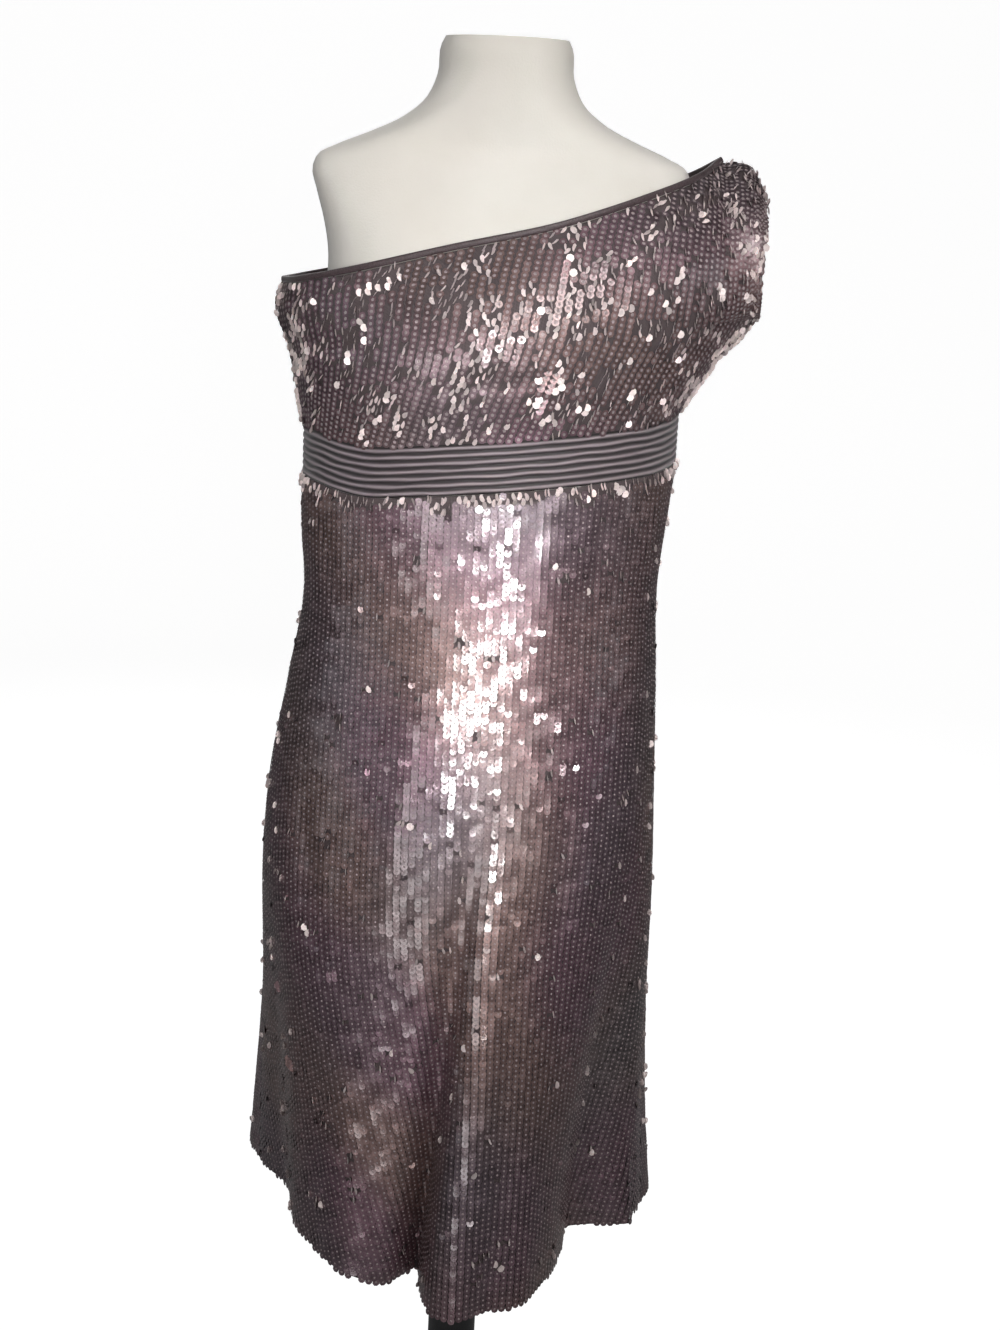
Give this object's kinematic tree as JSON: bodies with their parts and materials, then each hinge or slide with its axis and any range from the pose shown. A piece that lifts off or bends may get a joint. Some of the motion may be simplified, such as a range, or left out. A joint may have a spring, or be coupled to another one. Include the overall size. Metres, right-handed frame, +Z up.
{
  "type": "cocktail dress on dress form",
  "caption": "One-shoulder sequinned cocktail dress with a cap sleeve and tucked waistband, on a limbless dress form with a pole stand.",
  "frame": {"origin": "on the floor, under the middle of the stand's base", "axes": "+Z up the pole, -Y the way the dress faces, +X towards the shoulder with the sleeve"},
  "size_m": [0.3903, 0.3744, 1.458],
  "materials": {
    "sequin_net": "close rows of glossy brown-mauve sequins on net",
    "band_satin": "satin, tucked",
    "binding_satin": "satin",
    "form_jersey": "matt jersey cover",
    "stand_black": "black satin paint"
  },
  "bodies": {
    "root": {"bodice_front": "sequin_net", "bodice_back": "sequin_net", "neck_binding_front": "binding_satin", "neck_binding_back": "binding_satin", "waistband_front": "band_satin", "waistband_back": "band_satin", "skirt_front": "sequin_net", "skirt_back": "sequin_net", "form_torso": "form_jersey", "stand_pole": "stand_black", "stand_base": "stand_black"}
  },
  "joints": []
}
